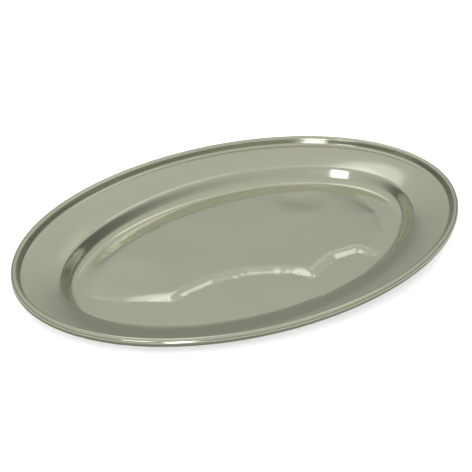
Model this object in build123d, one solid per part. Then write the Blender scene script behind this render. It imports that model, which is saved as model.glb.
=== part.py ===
from build123d import *

import os

# An oval serving tray, pressed from one stainless steel sheet, its rim rolled round a steel wire.
# Millimetres. The origin is the middle of the underside, +X runs along the tray and +Z is up.

# The whole tray.
LENGTH = 350.0
WIDTH = 238.0
SHEET = 0.7  # thickness of the pressed sheet

# The rolled rim. Angles are in degrees, with 0 pointing away from the tray.
WIRE_RADIUS = 1.65
WIRE_PLAY = 0.05  # between the wire and the bottom of the curl
CURL_TIP = -140.0  # the sheet's tucked edge, under the rim
BEAD_SIDE = 0.9  # straight side between the curl round the wire and the crest above it
CREST_END = 172.0  # where the crest turns into the step down to the flange
STEP_LENGTH = 1.9

# The section of the show face, from the rim inwards. Slopes are in degrees from level.
NECK_RADIUS = 2.3
FLANGE_SLOPE = 7.0  # by the neck
FLANGE_RADIUS = 130.5  # the flange is slightly rounded over
LIP_SLOPE = 18.0  # where the flange meets the edge of the well
EDGE_RADIUS = 3.2
WALL_SLOPE = 62.0
WALL_LENGTH = 6.2
FOOT_RADIUS = 7.5
FLOOR_STRIP = 6.0  # level strip inside the foot, cut back to half where it meets the floor panel

# Worked out from the sizes above.
BEAD_RADIUS = WIRE_RADIUS + WIRE_PLAY + SHEET
WIRE_HALF_LENGTH = LENGTH / 2 - BEAD_RADIUS
WIRE_HALF_WIDTH = WIDTH / 2 - BEAD_RADIUS


def section_line(depth):
    """The section's line at a depth below the show face, tucked edge to floor, wire's centre at 0, 0."""
    with BuildLine() as line:
        curl = CenterArc((0, 0), BEAD_RADIUS - depth, CURL_TIP, -CURL_TIP)
        side = PolarLine(curl @ 1, BEAD_SIDE, direction=curl % 1)
        crest = JernArc(side @ 1, side % 1, BEAD_RADIUS - depth, CREST_END)
        step = PolarLine(crest @ 1, STEP_LENGTH, direction=crest % 1)
        neck = JernArc(step @ 1, step % 1, NECK_RADIUS + depth, 90 + FLANGE_SLOPE - CREST_END)
        flange = JernArc(neck @ 1, neck % 1, FLANGE_RADIUS - depth, LIP_SLOPE - FLANGE_SLOPE)
        edge = JernArc(flange @ 1, flange % 1, EDGE_RADIUS - depth, WALL_SLOPE - LIP_SLOPE)
        wall = PolarLine(edge @ 1, WALL_LENGTH, direction=edge % 1)
        foot = JernArc(wall @ 1, wall % 1, FOOT_RADIUS + depth, -WALL_SLOPE)
        PolarLine(foot @ 1, FLOOR_STRIP, direction=foot % 1)
    return line.wire()


def sweep_round(section, height):
    """Carry a section, drawn about the wire's centre, once round the oval at the given height."""
    oval = Pos(0, 0, height) * Edge.make_ellipse(WIRE_HALF_LENGTH, WIRE_HALF_WIDTH)
    end = Plane((WIRE_HALF_LENGTH, 0, height), x_dir=(1, 0, 0), z_dir=(0, -1, 0))
    return sweep(end * section, path=oval)


def sheet_section():
    """The sheet's section: its two faces, closed at the tucked edge and at the floor."""
    top, underside = section_line(0), section_line(SHEET)
    ends = [Line(top @ 0, underside @ 0), Line(top @ 1, underside @ 1)]
    return make_face([*top.edges(), *underside.edges(), *ends])


def make_sheet(wire_height, floor_inset):
    """The pressed sheet: curl, flange, wall and foot swept round, with the floor panel let in."""
    ring = sweep_round(sheet_section(), wire_height)
    opening = Ellipse(WIRE_HALF_LENGTH - floor_inset, WIRE_HALF_WIDTH - floor_inset)
    ring -= extrude(opening, amount=2 * SHEET, both=True)
    return (ring + extrude(opening, amount=SHEET)).clean()


def make_wire(wire_height):
    """The closed ring of round wire that stiffens the rim."""
    return sweep_round(Circle(WIRE_RADIUS), wire_height)


def main():
    """Model both pieces and write each to its own file."""
    floor_end = section_line(SHEET) @ 1
    wire_height = -floor_end.Y
    floor_inset = -floor_end.X - FLOOR_STRIP / 2
    os.makedirs("parts", exist_ok=True)
    export_step(make_sheet(wire_height, floor_inset), "parts/pressed_tray.step")
    export_step(make_wire(wire_height), "parts/rim_wire.step")


main()
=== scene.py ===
"""The oval serving tray and its plain studio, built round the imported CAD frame.

Everything is in metres, in the row's frame: the origin is the middle of the underside, +X runs along
the tray and +Z is up.
"""

import logging
from collections.abc import Callable
from dataclasses import dataclass, field
from enum import Enum
from math import cos, hypot, pi, radians, sin

import bmesh
import bpy
from mathutils import Matrix, Vector


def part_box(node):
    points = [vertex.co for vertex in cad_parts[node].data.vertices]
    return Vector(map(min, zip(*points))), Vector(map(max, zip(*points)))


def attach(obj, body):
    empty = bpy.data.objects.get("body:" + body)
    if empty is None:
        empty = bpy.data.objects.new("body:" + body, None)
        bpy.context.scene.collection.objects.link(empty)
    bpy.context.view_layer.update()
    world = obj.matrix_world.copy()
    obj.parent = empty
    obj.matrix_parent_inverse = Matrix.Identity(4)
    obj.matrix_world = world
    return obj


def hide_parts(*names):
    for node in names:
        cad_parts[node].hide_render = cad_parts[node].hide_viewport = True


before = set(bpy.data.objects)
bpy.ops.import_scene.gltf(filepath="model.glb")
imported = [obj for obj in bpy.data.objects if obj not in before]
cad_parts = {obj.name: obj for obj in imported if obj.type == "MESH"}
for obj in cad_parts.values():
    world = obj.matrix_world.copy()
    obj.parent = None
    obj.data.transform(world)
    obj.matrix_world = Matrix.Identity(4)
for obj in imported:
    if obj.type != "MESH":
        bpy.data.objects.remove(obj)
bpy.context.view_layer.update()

LOG = logging.getLogger("serving_tray")
MM = 0.001
LEVEL_SLACK = 0.01 * MM  # how far off a height a vertex may lie and still count as on it
WELD_DISTANCE = 0.001 * MM
SMOOTH_BELOW = radians(50.0)  # edges that turn less than this are shaded smooth

Colour = tuple[float, float, float]
Point = tuple[float, float]
UNIT: Point = (0.0, 1.0)
NOISE_CORE: Point = (0.35, 0.65)  # where the bulk of a noise pattern's values lie
NOISE_SPAN: Point = (0.3, 0.7)  # where nearly all of them lie
Stops = tuple[Point, ...]
Test = Callable[[bmesh.types.BMVert], bool]


class Node(Enum):
    """The CAD nodes that this script dresses or stands in for."""

    SHEET = "pressed_tray"
    WIRE = "rim_wire"


class Falloff(Enum):
    """How a push fades away from the metal that is held."""

    SMOOTH = "SMOOTH"
    SHARP = "SHARP"


# ---------------------------------------------------------------- modelling by hand


def begin_piece() -> None:
    """Leave edit mode and let go of everything, so that the next operator acts on the new piece alone."""
    if bpy.context.object and bpy.context.object.mode != "OBJECT":
        bpy.ops.object.mode_set(mode="OBJECT")
    bpy.ops.object.select_all(action="DESELECT")


def pick_vertices(piece: bpy.types.Object, chosen: Test) -> int:
    """Select just the vertices that a test picks.

    Args:
        piece: the mesh object that is being edited.
        chosen: a test that takes a vertex and says whether it is wanted.

    Returns:
        How many vertices were picked.
    """
    bpy.ops.mesh.select_mode(type="VERT")
    bpy.ops.mesh.select_all(action="DESELECT")
    mesh = bmesh.from_edit_mesh(piece.data)
    picked = [v for v in mesh.verts if not v.hide and chosen(v)]
    for vertex in picked:
        vertex.select_set(True)
    mesh.select_flush(True)
    bmesh.update_edit_mesh(piece.data)
    return len(picked)


# ---------------------------------------------------------------- the tray's section


@dataclass
class SectionWalk:
    """A line drawn by walking: straight runs and turns, each starting where the last one ended.

    A point is how far the line stands out from the middle of the rim's crest, and how far above it.
    """

    out: float
    up: float
    heading: float
    points: list[Point] = field(default_factory=list)

    def run(self, length: float, steps: int) -> None:
        """Walk straight on.

        Args:
            length: how far to walk.
            steps: how many points the run adds.
        """
        for _ in range(steps):
            self.out += length / steps * cos(radians(self.heading))
            self.up += length / steps * sin(radians(self.heading))
            self.points.append((self.out, self.up))

    def turn(self, radius: float, angle: float, step: float) -> None:
        """Walk round an arc.

        Args:
            radius: the arc's radius.
            angle: how far to turn, in degrees, anticlockwise when positive.
            step: the largest turn between two points, in degrees.
        """
        side = 90.0 if angle > 0 else -90.0
        toward = radians(self.heading + side)
        centre = (self.out + radius * cos(toward), self.up + radius * sin(toward))
        start = self.heading
        count = max(1, round(abs(angle) / step))
        for index in range(1, count + 1):
            self.heading = start + angle * index / count
            away = radians(self.heading - side)
            self.out = centre[0] + radius * cos(away)
            self.up = centre[1] + radius * sin(away)
            self.points.append((self.out, self.up))


@dataclass(frozen=True)
class TraySection:
    """The sizes of the pressed sheet's section. Slopes are in degrees from level."""

    sheet: float = 0.7 * MM
    bead_radius: float = 2.4 * MM
    bead_side: float = 0.9 * MM
    curl_tip: float = -140.0
    crest_end: float = 172.0
    step_length: float = 1.9 * MM
    step_rings: int = 2
    neck_radius: float = 2.3 * MM
    flange_slope: float = 7.0
    flange_radius: float = 130.5 * MM
    lip_slope: float = 18.0
    edge_radius: float = 3.2 * MM
    wall_slope: float = 62.0
    wall_length: float = 6.2 * MM
    wall_rings: int = 2
    foot_radius: float = 7.5 * MM
    arc_step: float = 8.0
    bead_step: float = 12.0
    flange_step: float = 1.6

    def show_face(self) -> list[Point]:
        """Draw the show face, from the rim's outermost point over the bead and down to the floor.

        Returns:
            The show face's points.
        """
        walk = SectionWalk(self.bead_radius, 0.0, 90.0)
        walk.turn(self.bead_radius, self.crest_end, self.bead_step)
        walk.run(self.step_length, self.step_rings)
        walk.turn(self.neck_radius, 90.0 + self.flange_slope - self.crest_end, self.arc_step)
        walk.turn(self.flange_radius, self.lip_slope - self.flange_slope, self.flange_step)
        walk.turn(self.edge_radius, self.wall_slope - self.lip_slope, self.arc_step)
        walk.run(self.wall_length, self.wall_rings)
        walk.turn(self.foot_radius, -self.wall_slope, self.arc_step)
        return walk.points

    def curl(self) -> list[Point]:
        """Draw the curl, from the rim's outermost point down and under to the tucked edge.

        Returns:
            The curl's points.
        """
        walk = SectionWalk(self.bead_radius, 0.0, -90.0)
        walk.run(self.bead_side, 1)
        walk.turn(self.bead_radius, self.curl_tip, self.bead_step)
        return walk.points


# ---------------------------------------------------------------- how the floor has moved


@dataclass(frozen=True)
class FloorCrown:
    """The floor's slight crown: a thin pressed floor springs up a little inside its foot.

    All of the floor inside the margin rises as one, and the rise fades away over the reach.
    """

    rise: float = 1.9 * MM
    margin: float = 14.5 * MM
    reach: float = 14.0 * MM


@dataclass(frozen=True)
class Fold:
    """A line across the floor, from one end to the other: the floor stays down on its near side.

    Corners run along the tray, and the line goes straight from each corner to the next. Beyond the line,
    the floor climbs back to its sprung height over the reach. Each stretch of the line is cut into the
    net of faces within the cut width of it, and a little past both of its ends.
    """

    corners: tuple[Point, ...]
    reach: float
    cut_width: float = 4.0 * MM
    cut_past: float = 2.0 * MM
    slack: float = 0.02 * MM

    def line(self, x: float) -> float:
        """Find the fold's place across the tray, at a place along it.

        Args:
            x: the place along the tray.

        Returns:
            The place across it.
        """
        for (x0, y0), (x1, y1) in zip(self.corners, self.corners[1:]):
            if x <= x1:
                return y0 + (y1 - y0) * max(0.0, (x - x0) / (x1 - x0))
        return self.corners[-1][1]

    def holds(self, vertex: bmesh.types.BMVert) -> bool:
        """Whether a vertex lies on the line or on its near side."""
        return vertex.co.y < self.line(vertex.co.x) + self.slack

    def stretches(self) -> list[tuple[Vector, Vector]]:
        """The line's straight stretches, each as its two ends."""
        return [(Vector(start), Vector(end)) for start, end in zip(self.corners, self.corners[1:])]


SOFT_ENDS = Fold(
    corners=(
        (-134 * MM, 30 * MM), (-118 * MM, 8 * MM), (-106 * MM, -10 * MM), (-98 * MM, -40 * MM),
        (-90 * MM, -80 * MM), (70 * MM, -80 * MM), (100 * MM, -38 * MM), (114 * MM, -14 * MM),
        (119 * MM, 14 * MM), (122 * MM, 60 * MM)
    ),
    reach=28.0 * MM,
)
DRAWN_CORNERS = Fold(
    corners=(
        (-116 * MM, 0 * MM), (-98 * MM, -9 * MM), (-81 * MM, -21 * MM), (-66 * MM, -22 * MM),
        (-42 * MM, -21 * MM), (-19 * MM, -26 * MM), (-2 * MM, -35 * MM), (10 * MM, -44 * MM),
        (18 * MM, -56 * MM), (32 * MM, -50 * MM), (46 * MM, -46 * MM), (64 * MM, -48 * MM),
        (84 * MM, -80 * MM)
    ),
    reach=9.5 * MM,
)


@dataclass(frozen=True)
class Dent:
    """A small push up or down in the floor. The metal within the tip's radius moves as one."""

    at: Point
    push: float
    reach: float
    tip: float = 1.5 * MM

    def touches(self, vertex: bmesh.types.BMVert) -> bool:
        """Whether a vertex lies under the dent's tip."""
        return (vertex.co.xy - Vector(self.at)).length < self.tip


# ---------------------------------------------------------------- finishes


class NodeBench:
    """A short way to lay out a material's nodes."""

    def __init__(self, name: str) -> None:
        """Start a material with its surface shader.

        Args:
            name: the material's name.
        """
        self.material = bpy.data.materials.new(name)
        self.material.use_nodes = True
        self.tree = self.material.node_tree
        self.surface = next(n for n in self.tree.nodes if n.type == "BSDF_PRINCIPLED")
        self.place = self.add("ShaderNodeTexCoord").outputs["Object"]

    def add(self, kind: str, **values: object) -> bpy.types.Node:
        """Add a node.

        Args:
            kind: the node's type name.
            values: attributes to set on it.

        Returns:
            The new node.
        """
        node = self.tree.nodes.new(kind)
        for name, value in values.items():
            setattr(node, name, value)
        return node

    def link(self, source: bpy.types.NodeSocket, target: bpy.types.NodeSocket) -> None:
        """Join two sockets."""
        self.tree.links.new(source, target)

    def stretched(self, scale: Colour, turn: float = 0.0) -> bpy.types.NodeSocket:
        """The piece's own coordinates, turned about Z and then stretched.

        Args:
            scale: how many pattern units a metre holds, along each axis.
            turn: the turn about Z, in degrees.

        Returns:
            The vector socket.
        """
        turned = self.add("ShaderNodeVectorRotate", rotation_type="Z_AXIS")
        turned.inputs["Angle"].default_value = radians(turn)
        self.link(self.place, turned.inputs["Vector"])
        mapping = self.add("ShaderNodeMapping")
        mapping.inputs["Scale"].default_value = scale
        self.link(turned.outputs["Vector"], mapping.inputs["Vector"])
        return mapping.outputs["Vector"]

    def noise(self, vector: bpy.types.NodeSocket, scale: float, detail: float = 2.0) -> bpy.types.NodeSocket:
        """Lay a noise pattern.

        Args:
            vector: where the pattern is read.
            scale: how many times the pattern repeats in a unit of that vector.
            detail: how many finer layers it has.

        Returns:
            The pattern's value.
        """
        node = self.add("ShaderNodeTexNoise")
        node.inputs["Scale"].default_value = scale
        node.inputs["Detail"].default_value = detail
        self.link(vector, node.inputs["Vector"])
        return node.outputs["Fac"]

    def ranged(self, value: bpy.types.NodeSocket, source: Point, target: Point) -> bpy.types.NodeSocket:
        """Carry a value from one range to another, and hold it inside.

        Args:
            value: the value's socket.
            source: the range that the value comes from.
            target: the range that it goes to.

        Returns:
            The new value's socket.
        """
        node = self.add("ShaderNodeMapRange")
        node.inputs["From Min"].default_value, node.inputs["From Max"].default_value = source
        node.inputs["To Min"].default_value, node.inputs["To Max"].default_value = target
        self.link(value, node.inputs["Value"])
        return node.outputs["Result"]

    def colours(self, first: Colour, second: Colour, share: bpy.types.NodeSocket) -> None:
        """Colour the surface with a mix of two colours.

        Args:
            first: the colour where the share is 0.
            second: the colour where the share is 1.
            share: how much of the second colour shows.
        """
        mix = self.add("ShaderNodeMix", data_type="RGBA")
        mix.inputs["A"].default_value = (*first, 1.0)
        mix.inputs["B"].default_value = (*second, 1.0)
        self.link(share, mix.inputs["Factor"])
        self.link(mix.outputs["Result"], self.surface.inputs["Base Color"])

    def sum(self, first: bpy.types.NodeSocket, second: bpy.types.NodeSocket) -> bpy.types.NodeSocket:
        """Add two values.

        Args:
            first: one value's socket.
            second: the other's.

        Returns:
            The total's socket.
        """
        node = self.add("ShaderNodeMath", operation="ADD")
        self.link(first, node.inputs[0])
        self.link(second, node.inputs[1])
        return node.outputs[0]

    def bump(self, height: bpy.types.NodeSocket, distance: float, strength: float = 1.0) -> None:
        """Give the surface a relief.

        Args:
            height: the relief's height, from 0 to 1.
            distance: the depth that a height of 1 stands for, in metres.
            strength: how much of it shows.
        """
        node = self.add("ShaderNodeBump")
        node.inputs["Distance"].default_value = distance
        node.inputs["Strength"].default_value = strength
        self.link(height, node.inputs["Height"])
        self.link(node.outputs["Normal"], self.surface.inputs["Normal"])


@dataclass(frozen=True)
class PolishedStainless:
    """Stainless steel sheet, bright polished, with haze, faint rolling grain and fine scratches from use."""

    name: str = "polished_stainless"
    bright: Colour = (0.718, 0.727, 0.632)
    dull: Colour = (0.690, 0.699, 0.605)
    roughness: Point = (0.10, 0.17)
    scratch_roughness: float = 0.10
    scratch_turns: tuple[float, ...] = (12.0, 71.0, 128.0)
    scratch_stretch: Colour = (14.0, 1500.0, 40.0)
    scratch_band: Point = (0.70, 0.78)
    haze_scale: float = 18.0
    grain_stretch: Colour = (30.0, 2600.0, 2600.0)
    grain_depth: float = 0.0012 * MM

    def build(self) -> bpy.types.Material:
        """Lay the finish's nodes.

        Returns:
            The finish's material.
        """
        bench = NodeBench(self.name)
        bench.surface.inputs["Metallic"].default_value = 1.0
        haze = bench.noise(bench.place, self.haze_scale, detail=3.0)
        bench.colours(self.bright, self.dull, bench.ranged(haze, NOISE_CORE, UNIT))
        grain = bench.noise(bench.stretched(self.grain_stretch), 1.0, detail=3.0)
        scratches = self._scratches(bench)
        rough = bench.sum(
            bench.ranged(haze, NOISE_SPAN, self.roughness),
            bench.ranged(scratches, UNIT, (0.0, self.scratch_roughness)),
        )
        bench.link(rough, bench.surface.inputs["Roughness"])
        bench.bump(bench.sum(grain, scratches), self.grain_depth)
        return bench.material

    def _scratches(self, bench: NodeBench) -> bpy.types.NodeSocket:
        """Lay thin straight marks, in a few directions.

        Args:
            bench: the finish's nodes.

        Returns:
            The marks' height, from 0 to 1 where no two cross.
        """
        total = None
        for turn in self.scratch_turns:
            marks = bench.noise(bench.stretched(self.scratch_stretch, turn), 1.0, detail=1.0)
            thin = bench.ranged(marks, self.scratch_band, UNIT)
            total = thin if total is None else bench.sum(total, thin)
        return total


@dataclass(frozen=True)
class DrawnWire:
    """Plain drawn steel wire, with die lines and a dull oily tone."""

    name: str = "drawn_wire"
    light: Colour = (0.58, 0.57, 0.53)
    dark: Colour = (0.42, 0.41, 0.38)
    roughness: Point = (0.28, 0.42)
    tone_scale: float = 60.0
    line_stretch: Colour = (200.0, 200.0, 4000.0)
    line_depth: float = 0.004 * MM

    def build(self) -> bpy.types.Material:
        """Lay the finish's nodes.

        Returns:
            The finish's material.
        """
        bench = NodeBench(self.name)
        bench.surface.inputs["Metallic"].default_value = 1.0
        tone = bench.noise(bench.place, self.tone_scale, detail=3.0)
        bench.colours(self.light, self.dark, bench.ranged(tone, NOISE_CORE, UNIT))
        bench.link(bench.ranged(tone, NOISE_SPAN, self.roughness), bench.surface.inputs["Roughness"])
        bench.bump(bench.noise(bench.stretched(self.line_stretch), 1.0), self.line_depth)
        return bench.material


@dataclass(frozen=True)
class PaleFloor:
    """A plain matt studio floor."""

    name: str = "pale_floor"
    tone: Colour = (0.93, 0.93, 0.93)
    shade: Colour = (0.91, 0.91, 0.91)
    patch_scale: float = 3.0
    roughness: float = 0.9
    specular: float = 0.1

    def build(self) -> bpy.types.Material:
        """Lay the finish's nodes.

        Returns:
            The finish's material.
        """
        bench = NodeBench(self.name)
        bench.surface.inputs["Roughness"].default_value = self.roughness
        bench.surface.inputs["Specular IOR Level"].default_value = self.specular
        bench.colours(self.tone, self.shade, bench.noise(bench.place, self.patch_scale))
        return bench.material


# ---------------------------------------------------------------- the tray


@dataclass
class PressedTray:
    """The tray's one pressed sheet, from the tucked edge of its curl to its slightly sprung floor."""

    section: TraySection = TraySection()
    crown: FloorCrown = FloorCrown()
    folds: tuple[Fold, ...] = (SOFT_ENDS, DRAWN_CORNERS)
    dents: tuple[Dent, ...] = (
        Dent((80 * MM, 36 * MM), -1.2 * MM, 26.0 * MM),
        Dent((-98 * MM, 8 * MM), -1.1 * MM, 40.0 * MM),
    )
    around: int = 448
    floor_band: float = 3.0 * MM  # the floor's own vertices lie less than this above it
    finish: PolishedStainless = PolishedStainless()
    piece: bpy.types.Object | None = None

    def __post_init__(self) -> None:
        """Read the tray's length, width and height from the CAD node."""
        low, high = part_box(Node.SHEET.value)
        self.half_length = min(high.x, -low.x)
        self.half_width = min(high.y, -low.y)
        floor_out, floor_up = self.section.show_face()[-1]
        self.floor_height = max(0.0, low.z) + self.section.sheet
        self.crest_height = self.floor_height - floor_up
        self.floor_inset = self.section.bead_radius - floor_out

    def build(self) -> bpy.types.Object:
        """Model the sheet, dress it and join it to the frame.

        Returns:
            The finished object.
        """
        self._start_rim()
        self._press(self.section.curl())
        self._turn_over()
        self._press(self.section.show_face())
        self._lay_floor()
        self._spring_floor()
        self._thicken()
        self._dress()
        return self.piece

    def _start_rim(self) -> None:
        """Set out a disc as large as the rim, at the height of its crest's middle."""
        begin_piece()
        bpy.ops.mesh.primitive_circle_add(vertices=self.around, radius=1.0, fill_type="NGON")
        self.piece = bpy.context.object
        self.piece.name = "tray_sheet"
        bpy.ops.object.mode_set(mode="EDIT")
        bpy.ops.mesh.select_all(action="SELECT")
        size = (self.half_length, self.half_width, 1.0)
        bpy.ops.transform.resize(value=size, center_override=(0.0, 0.0, 0.0))
        bpy.ops.transform.translate(value=(0.0, 0.0, self.crest_height))

    def _press(self, points: list[Point]) -> None:
        """Inset the selected disc ring by ring along the section, leaving its last ring filled.

        Args:
            points: the section's points, each lying further in than the one before, or level with it.
        """
        out, up = self.section.bead_radius, 0.0
        for next_out, next_up in points:
            bpy.ops.mesh.inset(thickness=max(0.0, out - next_out), depth=0.0, use_even_offset=True)
            bpy.ops.transform.translate(value=(0.0, 0.0, next_up - up))
            out, up = next_out, next_up

    def _turn_over(self) -> None:
        """Open the curl's underside, and fill the rim's outermost ring to press the show face from."""
        bpy.ops.mesh.delete(type="ONLY_FACE")
        pick_vertices(self.piece, lambda v: abs(v.co.z - self.crest_height) < LEVEL_SLACK)
        bpy.ops.mesh.edge_face_add()

    def _lay_floor(self) -> None:
        """Swap the last disc for an even net of squares."""
        bpy.ops.mesh.delete(type="ONLY_FACE")
        level = self.floor_height
        pick_vertices(self.piece, lambda v: v.is_boundary and abs(v.co.z - level) < LEVEL_SLACK)
        bpy.ops.mesh.select_mode(type="EDGE")
        bpy.ops.mesh.fill_grid(span=self.around // 4, offset=self.around // 8)

    def _on_floor(self, vertex: bmesh.types.BMVert, margin: float) -> bool:
        """Say whether a vertex lies on the floor, at least a margin inside its foot.

        Args:
            vertex: the vertex.
            margin: how far inside the foot it has to lie.

        Returns:
            True when it does.
        """
        inset = self.floor_inset + margin
        x, y = vertex.co.x / (self.half_length - inset), vertex.co.y / (self.half_width - inset)
        return vertex.co.z < self.floor_height + self.floor_band and hypot(x, y) < 1.0

    def _spring_floor(self) -> None:
        """Crown the floor, dent it, and press it flat again up to its folds."""
        pick_vertices(self.piece, lambda v: self._on_floor(v, 0.0))
        bpy.ops.mesh.hide(unselected=True)
        pick_vertices(self.piece, lambda v: self._on_floor(v, self.crown.margin))
        self._push(self.crown.rise, self.crown.reach)
        for dent in self.dents:
            pick_vertices(self.piece, dent.touches)
            self._push(dent.push, dent.reach)
        for fold in self.folds:
            self._mark_fold(fold)
            pick_vertices(self.piece, fold.holds)
            bpy.ops.transform.resize(
                value=(1.0, 1.0, 0.0),
                center_override=(0.0, 0.0, self.floor_height),
                use_proportional_edit=True,
                proportional_edit_falloff=Falloff.SHARP.value,
                proportional_size=fold.reach,
            )
        bpy.ops.mesh.reveal(select=False)

    def _mark_fold(self, fold: Fold) -> None:
        """Cut the floor's net along a fold, one straight stretch after another.

        Args:
            fold: the fold to cut along.
        """
        for first, last in fold.stretches():
            along = last - first
            length = along.length
            along.normalize()
            across = Vector((-along.y, along.x))

            def beside(vertex: bmesh.types.BMVert) -> bool:
                """Say whether a vertex lies close to this stretch.

                Args:
                    vertex: the vertex.

                Returns:
                    True when it does.
                """
                offset = vertex.co.xy - first
                inside = -fold.cut_past < offset.dot(along) < length + fold.cut_past
                return inside and abs(offset.dot(across)) < fold.cut_width

            if pick_vertices(self.piece, beside):
                bpy.ops.mesh.bisect(
                    plane_co=(first.x, first.y, self.floor_height), plane_no=(across.x, across.y, 0.0)
                )

    def _push(self, rise: float, reach: float) -> None:
        """Lift what is selected, and what lies round it less and less.

        Args:
            rise: how far to lift it, or lower it when negative.
            reach: how far away the last of the lift is felt.
        """
        bpy.ops.transform.translate(
            value=(0.0, 0.0, rise),
            use_proportional_edit=True,
            proportional_edit_falloff=Falloff.SMOOTH.value,
            proportional_size=reach,
        )

    def _thicken(self) -> None:
        """Face the sheet outwards and give it its thickness, inside the show face."""
        bpy.ops.mesh.select_all(action="SELECT")
        bpy.ops.mesh.remove_doubles(threshold=WELD_DISTANCE)
        bpy.ops.mesh.normals_make_consistent(inside=False)
        mesh = bmesh.from_edit_mesh(self.piece.data)
        middle = min(mesh.faces, key=lambda f: f.calc_center_median().xy.length)
        if middle.normal.z < 0.0:
            bpy.ops.mesh.flip_normals()
        bpy.ops.object.mode_set(mode="OBJECT")
        solidify = self.piece.modifiers.new("sheet_thickness", "SOLIDIFY")
        solidify.thickness = self.section.sheet
        solidify.offset = -1.0
        solidify.use_even_offset = True
        bpy.ops.object.modifier_apply(modifier=solidify.name)
        self._level_underside()
        bpy.ops.object.shade_smooth_by_angle(angle=SMOOTH_BELOW)

    def _level_underside(self) -> None:
        """Bring what the thickness pushed below the ground back up to it."""
        bpy.ops.object.mode_set(mode="EDIT")
        if pick_vertices(self.piece, lambda v: v.co.z < 0.0):
            bpy.ops.transform.resize(value=(1.0, 1.0, 0.0), center_override=(0.0, 0.0, 0.0))
        bpy.ops.object.mode_set(mode="OBJECT")

    def _dress(self) -> None:
        """Give the sheet its finish and its place in the frame."""
        self.piece.data.materials.clear()
        self.piece.data.materials.append(self.finish.build())
        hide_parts(Node.SHEET.value)
        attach(self.piece, "root")


@dataclass
class RimWire:
    """The wire inside the curl, kept as the CAD makes it."""

    finish: DrawnWire = DrawnWire()

    def build(self) -> bpy.types.Object:
        """Dress the CAD wire.

        Returns:
            The wire's object.
        """
        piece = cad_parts[Node.WIRE.value]
        piece.data.materials.clear()
        piece.data.materials.append(self.finish.build())
        return piece


# ---------------------------------------------------------------- the studio


@dataclass
class ViewCamera:
    """The camera: a long lens, from in front of the tray's left end and above it."""

    azimuth: float = -38.375
    elevation: float = 30.689
    roll: float = 1.578
    distance: float = 0.9158
    lens: float = 98.95
    shift: Point = (-0.02057, -0.01917)
    clip: Point = (0.01, 50.0)

    def bearing(self) -> Matrix:
        """Work out the camera's turn.

        Returns:
            The turn as a matrix.
        """
        tilt = pi / 2 - radians(self.elevation)
        heading = Matrix.Rotation(radians(self.azimuth), 4, "Z") @ Matrix.Rotation(tilt, 4, "X")
        return heading @ Matrix.Rotation(radians(self.roll), 4, "Z")

    def build(self, aim: Vector) -> bpy.types.Object:
        """Stand the camera so that it looks at a point.

        Args:
            aim: the point that it looks at.

        Returns:
            The camera object.
        """
        data = bpy.data.cameras.new("view_camera")
        data.lens = self.lens
        data.shift_x, data.shift_y = self.shift
        data.clip_start, data.clip_end = self.clip
        camera = bpy.data.objects.new("view_camera", data)
        bpy.context.scene.collection.objects.link(camera)
        turn = self.bearing()
        camera.matrix_world = Matrix.Translation(aim + turn.to_3x3() @ Vector((0, 0, self.distance))) @ turn
        bpy.context.scene.camera = camera
        return camera


@dataclass(frozen=True)
class SoftBox:
    """A rectangular studio light that faces the tray.

    Bearings are in degrees. The azimuth turns clockwise from straight ahead of the camera.
    """

    name: str
    azimuth: float
    elevation: float
    width: float
    height: float
    radiance: float
    distance: float = 2.0
    tint: Colour = (1.0, 1.0, 1.0)
    spin: float = 0.0
    seen_in_metal: bool = True

    def build(self, ahead: float, aim: Vector) -> bpy.types.Object:
        """Hang the light.

        Args:
            ahead: the camera's azimuth, in degrees.
            aim: the point that it faces.

        Returns:
            The light object.
        """
        data = bpy.data.lights.new(self.name, "AREA")
        data.shape = "RECTANGLE"
        data.size, data.size_y = self.width, self.height
        data.energy = self.radiance * pi * self.width * self.height
        data.color = self.tint
        light = bpy.data.objects.new(self.name, data)
        light.visible_camera = False
        light.visible_glossy = self.seen_in_metal
        bpy.context.scene.collection.objects.link(light)
        across, up = radians(ahead - self.azimuth), radians(self.elevation)
        toward = Vector((-sin(across) * cos(up), cos(across) * cos(up), sin(up)))
        turn = Matrix.Rotation(across + pi, 4, "Z") @ Matrix.Rotation(pi / 2 - up, 4, "X")
        turn = turn @ Matrix.Rotation(radians(self.spin), 4, "Z")
        light.matrix_world = Matrix.Translation(aim + toward * self.distance) @ turn
        return light


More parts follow.
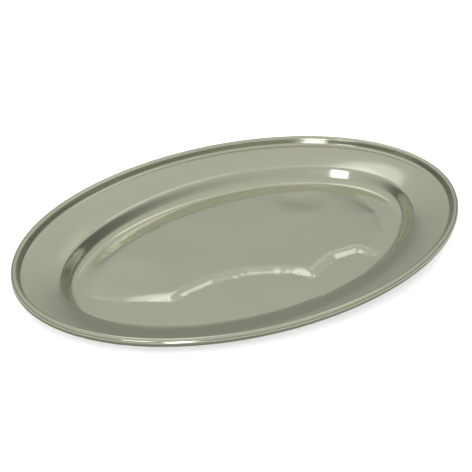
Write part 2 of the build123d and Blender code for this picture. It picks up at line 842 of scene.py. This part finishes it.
@dataclass(frozen=True)
class RoomTone:
    """The room's own soft light, by height: straight ahead of the camera, and all round. Below level it is a
    painted reflection of the floor, which the metal is kept from seeing: darker straight down for the
    painted shade under the rim, near white towards level for the lit floor.

    A stop is a height and a light. Heights run from 0, straight down, through 0.5, level, to 1, straight
    up. Ahead of the camera, every edge between light and dark drops away to both sides of the centre.
    """

    ahead: Stops = (
        (0.0, 0.40), (0.30, 0.27), (0.612, 0.29), (0.62, 0.37), (0.77, 0.38), (0.85, 0.53), (1.0, 0.58)
    )
    # Below level these stops are a painted reflection of the floor: painted shade straight down, under the
    # rim, and the lit floor near level.
    around: Stops = (
        (0.0, 0.22), (0.20, 0.30), (0.46, 0.90), (0.52, 0.08),
        (0.62, 0.20), (0.67, 0.38), (0.71, 0.50), (1.0, 0.58)
    )
    slant: float = -1.1
    centre: float = 0.02
    facing: Point = (0.80, 0.96)
    tint: Colour = (1.0, 1.0, 0.88)

    def build(self, ahead: float) -> None:
        """Set the world's light.

        Args:
            ahead: the camera's azimuth, in degrees.
        """
        world = bpy.data.worlds.new("room")
        bpy.context.scene.world = world
        world.use_nodes = True
        tree = world.node_tree
        across, forward, height = self._bearings(tree, ahead)
        beside = self._sum(tree, "SUBTRACT", across, self.centre)
        away = self._sum(tree, "ABSOLUTE", beside)
        slanted = self._sum(tree, "MULTIPLY_ADD", away, self.slant, height)
        mix = tree.nodes.new("ShaderNodeMix")
        mix.data_type = "RGBA"
        tree.links.new(self._faced(tree, forward), mix.inputs["Factor"])
        tree.links.new(self._ramp(tree, height, self.around), mix.inputs["A"])
        tree.links.new(self._ramp(tree, slanted, self.ahead), mix.inputs["B"])
        background = next(n for n in tree.nodes if n.type == "BACKGROUND")
        tree.links.new(mix.outputs["Result"], background.inputs["Color"])

    def _bearings(self, tree: bpy.types.NodeTree, ahead: float) -> tuple[bpy.types.NodeSocket, ...]:
        """Split a direction in the room into its parts.

        Args:
            tree: the world's node tree.
            ahead: the camera's azimuth, in degrees.

        Returns:
            How far the direction points across, straight ahead and up, each from -1 to 1.
        """
        place = tree.nodes.new("ShaderNodeTexCoord")
        turned = tree.nodes.new("ShaderNodeVectorRotate")
        turned.rotation_type = "Z_AXIS"
        turned.inputs["Angle"].default_value = radians(-ahead)
        tree.links.new(place.outputs["Generated"], turned.inputs["Vector"])
        parts = tree.nodes.new("ShaderNodeSeparateXYZ")
        tree.links.new(turned.outputs["Vector"], parts.inputs["Vector"])
        return tuple(parts.outputs[axis] for axis in "XYZ")

    def _faced(self, tree: bpy.types.NodeTree, forward: bpy.types.NodeSocket) -> bpy.types.NodeSocket:
        """Say how much of the light from straight ahead a direction gets.

        Args:
            tree: the world's node tree.
            forward: how far the direction points straight ahead.

        Returns:
            The share's socket, which runs from 0 to 1.
        """
        share = tree.nodes.new("ShaderNodeMapRange")
        share.interpolation_type = "SMOOTHSTEP"
        share.inputs["From Min"].default_value, share.inputs["From Max"].default_value = self.facing
        tree.links.new(forward, share.inputs["Value"])
        return share.outputs["Result"]

    def _sum(
        self, tree: bpy.types.NodeTree, operation: str, *terms: float | bpy.types.NodeSocket
    ) -> bpy.types.NodeSocket:
        """Work out a sum on sockets and plain numbers.

        Args:
            tree: the world's node tree.
            operation: the maths node's operation.
            terms: the sockets and numbers that it works on, in order.

        Returns:
            The result's socket.
        """
        node = tree.nodes.new("ShaderNodeMath")
        node.operation = operation
        for socket, term in zip(node.inputs, terms):
            if isinstance(term, float):
                socket.default_value = term
            else:
                tree.links.new(term, socket)
        return node.outputs[0]

    def _ramp(
        self, tree: bpy.types.NodeTree, height: bpy.types.NodeSocket, stops: Stops
    ) -> bpy.types.NodeSocket:
        """Colour a height, which runs from -1 to 1, by its stops.

        Args:
            tree: the world's node tree.
            height: the height's socket.
            stops: the ramp's stops.

        Returns:
            The colour's socket.
        """
        ramp = tree.nodes.new("ShaderNodeValToRGB")
        elements = ramp.color_ramp.elements
        while len(elements) < len(stops):
            elements.new(0.5)
        for element, (place, light) in zip(elements, stops):
            element.position = place
            element.color = (*(light * part for part in self.tint), 1.0)
        level = tree.nodes.new("ShaderNodeMapRange")
        level.inputs["From Min"].default_value = -1.0
        tree.links.new(height, level.inputs["Value"])
        tree.links.new(level.outputs["Result"], ramp.inputs["Fac"])
        return ramp.outputs["Color"]


@dataclass
class Studio:
    """The plain pale floor, the soft lights and the camera."""

    camera: ViewCamera = field(default_factory=ViewCamera)
    room: RoomTone = RoomTone()
    boxes: tuple[SoftBox, ...] = (
        SoftBox("high_card", -9.0, 57.0, 0.50, 0.96, 0.34),
        SoftBox("high_card_heart", -9.0, 61.0, 0.34, 0.44, 0.20, distance=1.9),
        SoftBox("side_card", 14.0, 40.5, 0.30, 0.26, 0.14),
        SoftBox("right_card", 33.0, 54.0, 0.50, 0.34, 0.45),
        SoftBox("bridge_card", 14.0, 69.0, 0.46, 0.18, 0.45),
        SoftBox("low_card", 2.0, 26.5, 1.60, 0.32, 0.035, distance=2.05, tint=(0.75, 0.86, 1.0)),
        SoftBox("window_right", -167.0, 28.0, 0.50, 0.34, 2.4, tint=(0.92, 0.97, 1.0), spin=6.0),
        SoftBox("window_behind", 173.0, 9.0, 0.36, 0.95, 5.0, distance=1.95),
        SoftBox("overhead_fill", 0.0, 90.0, 2.4, 2.4, 0.8, tint=(0.95, 0.95, 1.0), seen_in_metal=False),
        SoftBox("front_fill", 180.0, 28.0, 3.0, 1.4, 8.0, tint=(0.95, 0.95, 1.0), seen_in_metal=False),
        SoftBox("back_fill", 0.0, 28.0, 3.0, 1.4, 4.0, tint=(0.95, 0.95, 1.0), seen_in_metal=False),
    )
    floor_size: float = 12.0

    def build(self, aim: Vector) -> None:
        """Set up the studio round the tray.

        Args:
            aim: the point that the camera and the lights face.
        """
        self.camera.build(aim)
        self.room.build(self.camera.azimuth)
        for box in self.boxes:
            box.build(self.camera.azimuth, aim)
        self._lay_floor()
        bpy.context.scene.view_settings.view_transform = "Standard"

    def _lay_floor(self) -> None:
        """Lay the floor that the tray stands on."""
        begin_piece()
        bpy.ops.mesh.primitive_plane_add(size=self.floor_size)
        floor = bpy.context.object
        floor.name = "studio_floor"
        # The metal is kept from seeing the floor; it sees the room's painted reflection of it instead.
        floor.visible_glossy = False
        floor.data.materials.append(PaleFloor().build())


def main() -> None:
    """Build the studio and the tray's pieces, and report each one."""
    logging.basicConfig(level=logging.INFO, format="%(name)s: %(message)s")
    tray = PressedTray()
    Studio().build(Vector((0.0, 0.0, tray.crest_height)))
    for part in (tray, RimWire()):
        piece = part.build()
        LOG.info("%s: %d faces", piece.name, len(piece.data.polygons))


if __name__ == "__main__":
    main()
